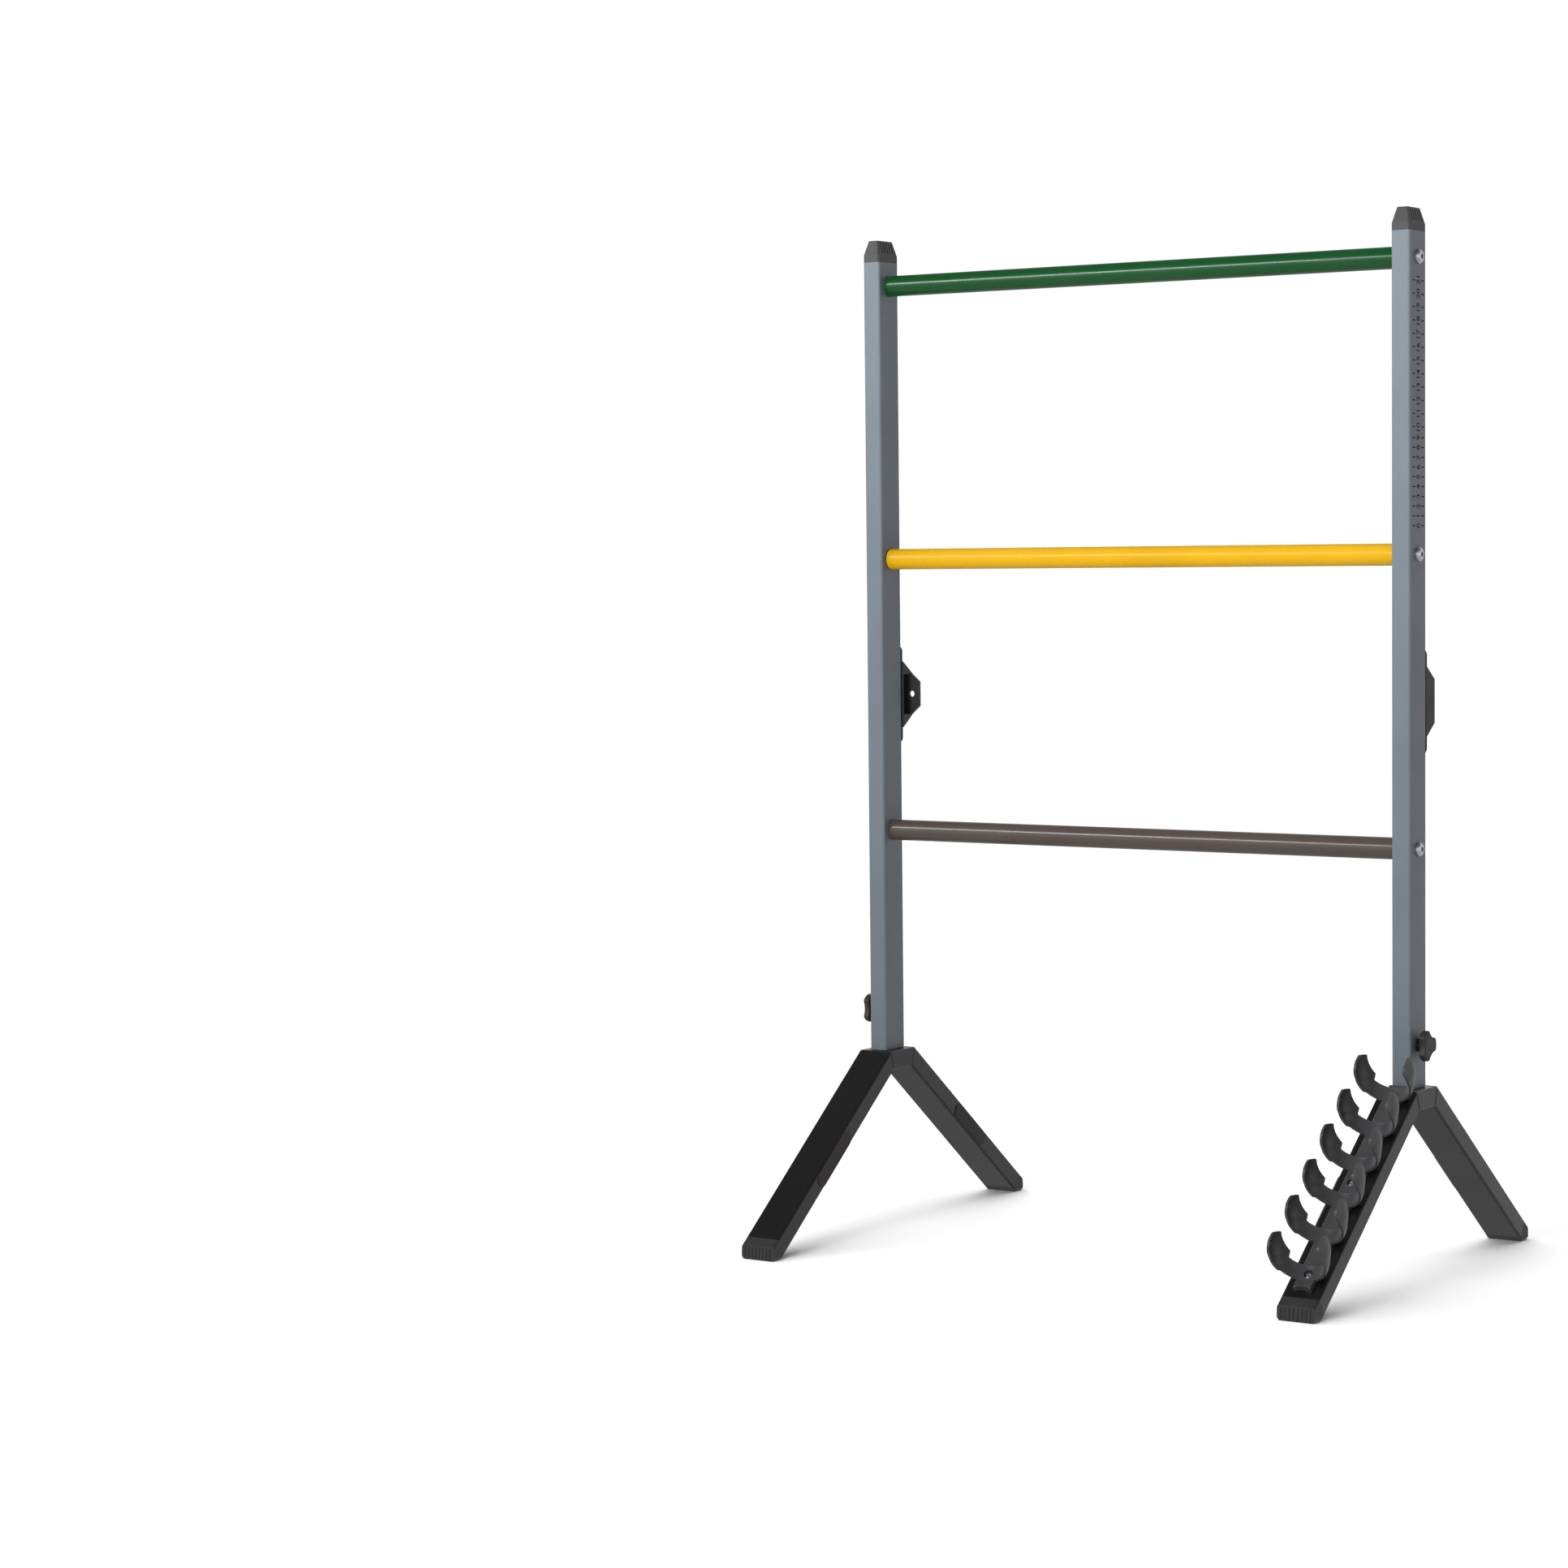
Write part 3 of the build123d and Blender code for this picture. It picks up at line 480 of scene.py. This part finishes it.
def weld_bead(hand_name, way_name, way):
    """Rippled bead on the mitred joint between a bridge and a leg."""
    low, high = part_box(f"{hand_name}_bridge")
    centre = (low + high) / 2
    tilt = math.radians((90 - LEG_ANGLE) / 2)
    corner = Vector((centre.x, high.y if way > 0 else low.y, high.z))
    down = Vector((0, -way * math.sin(tilt), -math.cos(tilt)))
    across = Vector((0, way * math.cos(tilt), -math.sin(tilt)))
    depth = (high.z - low.z) / math.cos(tilt)
    flat = bead_path((high.x - low.x) / 2, depth)
    line = evenly([corner + Vector((x, 0, 0)) + down * y for x, y in flat], BEAD_RIPPLE / RIPPLE_RINGS)
    last = len(line) - 1
    random = Random(f"{hand_name} {way_name}")
    wander = [random.uniform(-1, 1) * BEAD_SWAY for _ in range(len(line) // SWAY_RINGS + 2)]

    def build(shape):
        rings = []
        for i, point in enumerate(line):
            ahead = (line[min(i + 1, last)] - line[max(i - 1, 0)]).normalized()
            out = ahead.cross(across)
            k, part = divmod(i, SWAY_RINGS)
            sway = wander[k] + (wander[k + 1] - wander[k]) * part / SWAY_RINGS
            ripple = abs(math.sin(math.pi * i / RIPPLE_RINGS))
            taper = min(1.0, (min(i, last - i) + 1) / BEAD_TAPER)
            radius = BEAD_R * (1 - BEAD_RISE + BEAD_RISE * ripple) * taper
            ring = []
            for angle in once_round(BEAD_SIDES):
                sideways = across * (sway + BEAD_WIDEN * radius * math.cos(angle))
                ring.append(shape.verts.new(point + sideways + out * radius * math.sin(angle)))
            rings.append(ring)
        for first, second in zip(rings, rings[1:]):
            for step in range(BEAD_SIDES):
                after = (step + 1) % BEAD_SIDES
                shape.faces.new((first[step], first[after], second[after], second[step]))
        shape.faces.new(rings[0])
        shape.faces.new(list(reversed(rings[-1])))

    name = f"{hand_name}_{way_name}_weld"
    piece(name, mesh_from(name, build), FINISHES["black_paint"], f"{hand_name}_leg_set")


# ---------------------------------------------------------------- screws with a cross recess

def head_height(radius, angle, head_r, head_h, turn):
    """Height of a screw head over its seat, with the recess cut into its dome."""
    dome = head_h * math.sqrt(1 - DOME_FALL * (radius / head_r) ** 2)
    x = abs(radius * math.cos(angle + turn))
    y = abs(radius * math.sin(angle + turn))
    arm = min(x, y)
    reach = max(x, y) / (RECESS_REACH * head_r)
    inside = clamp((RECESS_HALF - arm) / RECESS_WALL) * clamp((1 - reach) * RECESS_END)
    return dome - RECESS_DEPTH * inside * (1 - RECESS_RISE * min(1.0, reach))


def clamp(value):
    """The value, held between 0 and 1."""
    return max(0.0, min(1.0, value))


def screws(node, axis, body):
    """The node's screws again, with a cross recess in each head; axis points out of the heads."""
    old = frame["nodes"][node]
    turn_to = axis.to_track_quat("Z", "Y").to_matrix().to_4x4()
    angles = once_round(SCREW_STEPS)
    random = Random(node)

    def build(shape):
        for part in loose_parts(old.data):
            local = [turn_to.inverted() @ corner for corner in part]
            low = Vector([min(c[i] for c in local) for i in range(3)])
            high = Vector([max(c[i] for c in local) for i in range(3)])
            middle = (low + high) / 2
            centre = turn_to @ Vector((middle.x, middle.y, 0))
            head_r = (high.x - low.x) / 2
            seat = min(c.z for c in local if (c.xy - middle.xy).length > RIM_SHARE * head_r)
            head_h = high.z - seat
            shank_r = SHANK_SHARE * head_r
            turn = random.uniform(0, math.pi / 2)
            rows = []
            for ring in range(1, SCREW_RINGS + 1):
                r = head_r * ring / SCREW_RINGS
                rows.append([(r, a, seat + head_height(r, a, head_r, head_h, turn)) for a in angles])
            point_r = POINT_SHARE * shank_r
            below = ((head_r, seat), (shank_r, seat), (shank_r, low.z + shank_r), (point_r, low.z))
            rows += [[(r, a, z) for a in angles] for r, z in below]
            made = []
            for row in rows:
                spots = [Vector((r * math.cos(a), r * math.sin(a), z)) for r, a, z in row]
                made.append([shape.verts.new(centre + turn_to @ spot) for spot in spots])
            deepest = Vector((0, 0, seat + head_height(0, 0, head_r, head_h, 0)))
            crown = shape.verts.new(centre + turn_to @ deepest)
            for step in range(SCREW_STEPS):
                after = (step + 1) % SCREW_STEPS
                shape.faces.new((crown, made[0][step], made[0][after]))
                for first, second in zip(made, made[1:]):
                    shape.faces.new((first[step], second[step], second[after], first[after]))
            shape.faces.new(made[-1])

    name = f"{node}_recessed"
    obj = piece(name, mesh_from(name, build), FINISHES["zinc"], body)
    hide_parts(node)


# ---------------------------------------------------------------- CAD nodes

def round_rims(obj, width):
    """Round the sharp edges of a moulded CAD node, without touching its mesh."""
    bevel = obj.modifiers.new("rims", "BEVEL")
    bevel.width = width
    bevel.segments = RIM_SEGMENTS
    bevel.limit_method = "ANGLE"
    bevel.angle_limit = math.radians(RIM_ANGLE)
    bevel.use_clamp_overlap = True


for node, obj in frame["nodes"].items():
    special = [finish for ending, finish in SPECIAL_FINISHES.items() if node.endswith(ending)]
    finish = special[0] if special else SLOT_OF[node]
    for slot in obj.material_slots:
        slot.material = FINISHES[finish]
    for kind, width in RIMS.items():
        if kind in node:
            round_rims(obj, width)

for hand_name, hand in HANDS:
    printed_scale(hand_name, hand)
    screws(f"{hand_name}_bracket_screws", Vector((0, 1, 0)), "ladder")
    for way_name, way in WAYS:
        weld_bead(hand_name, way_name, way)

leg_angle = math.radians(LEG_ANGLE)
screws("rack_screws", Vector((0, -math.cos(leg_angle), math.sin(leg_angle))), "right_leg_set")


# ---------------------------------------------------------------- studio

def floor():
    """A wide plane that the frame stands on."""
    def build(shape):
        bmesh.ops.create_grid(shape, x_segments=8, y_segments=8, size=FLOOR_HALF)
    mesh = mesh_from("floor", build)
    mesh.materials.append(floor_finish())
    obj = bpy.data.objects.new("floor", mesh)
    bpy.context.scene.collection.objects.link(obj)
    obj.visible_glossy = False


def soft_box(name, place, aim, width, height, power, spread_degrees=180, diffuse=True, glossy=True):
    """A rectangular studio light that points at a spot."""
    light = bpy.data.lights.new(name, "AREA")
    light.shape = "RECTANGLE"
    light.size = width
    light.size_y = height
    light.energy = power
    light.spread = math.radians(spread_degrees)
    obj = bpy.data.objects.new(name, light)
    bpy.context.scene.collection.objects.link(obj)
    obj.location = place
    obj.rotation_euler = (Vector(aim) - Vector(place)).to_track_quat("-Z", "Y").to_euler()
    obj.visible_camera = False
    obj.visible_diffuse = diffuse
    obj.visible_glossy = glossy


def sky():
    """Surroundings white at eye level and grey overhead, below and behind; the camera sees plain white."""
    world = bpy.data.worlds.new("studio")
    bpy.context.scene.world = world
    world.use_nodes = True
    tree = world.node_tree
    tree.nodes.clear()
    toward = add_node(tree, "ShaderNodeSeparateXYZ")
    tree.links.new(add_node(tree, "ShaderNodeTexCoord").outputs["Generated"], toward.inputs[0])
    fall = spread(tree, toward.outputs["Z"], *FALL_OVERHEAD)
    tone = blend_colours(tree, fall, SKY_HORIZON, SKY_OVERHEAD)
    below = spread(tree, toward.outputs["Z"], *FALL_BELOW)
    tone = blend_colours(tree, below, tone, SKY_BELOW)
    behind = spread(tree, toward.outputs["Y"], *FALL_BEHIND)
    tone = blend_colours(tree, behind, tone, SKY_BEHIND)
    lit = add_node(tree, "ShaderNodeBackground")
    tree.links.new(tone, lit.inputs["Color"])
    seen = add_node(tree, "ShaderNodeBackground", {"Color": (1, 1, 1, 1), "Strength": SKY_SEEN})
    ray = add_node(tree, "ShaderNodeLightPath")
    mix = add_node(tree, "ShaderNodeMixShader")
    tree.links.new(ray.outputs["Is Camera Ray"], mix.inputs[0])
    tree.links.new(lit.outputs[0], mix.inputs[1])
    tree.links.new(seen.outputs[0], mix.inputs[2])
    out = add_node(tree, "ShaderNodeOutputWorld")
    tree.links.new(mix.outputs[0], out.inputs["Surface"])


def sun(name, place, power, spread_degrees):
    """A distant soft light that shines from place towards the origin."""
    light = bpy.data.lights.new(name, "SUN")
    light.energy = power
    light.angle = math.radians(spread_degrees)
    obj = bpy.data.objects.new(name, light)
    bpy.context.scene.collection.objects.link(obj)
    obj.rotation_euler = (-Vector(place)).to_track_quat("-Z", "Y").to_euler()
    obj.visible_glossy = False


def camera():
    """Camera at the viewing angle, with no shift and no depth of field."""
    data = bpy.data.cameras.new("camera")
    data.sensor_width = 36
    data.lens = CAMERA_LENS
    data.dof.use_dof = False
    obj = bpy.data.objects.new("camera", data)
    bpy.context.scene.collection.objects.link(obj)
    turn = Matrix.Rotation(CAMERA_TURN, 4, "Z") @ Matrix.Rotation(CAMERA_TILT, 4, "X")
    obj.matrix_world = Matrix.Translation(CAMERA_PLACE) @ turn @ Matrix.Rotation(CAMERA_ROLL, 4, "Z")
    bpy.context.scene.camera = obj


floor()
sky()
sun("overhead", place=(-0.25, -0.15, 1.0), power=2.9, spread_degrees=80)
soft_box("key", place=(-0.1, -2.7, 1.25), aim=(0.05, 0, 1.15), width=0.9, height=0.9, power=20,
         spread_degrees=60, glossy=False)
soft_box("strip", place=(-1.72, -2.46, 1.95), aim=(0, 0, 1.0), width=1.6, height=0.35, power=30,
         diffuse=False)
camera()
bpy.context.scene.view_settings.view_transform = "Standard"
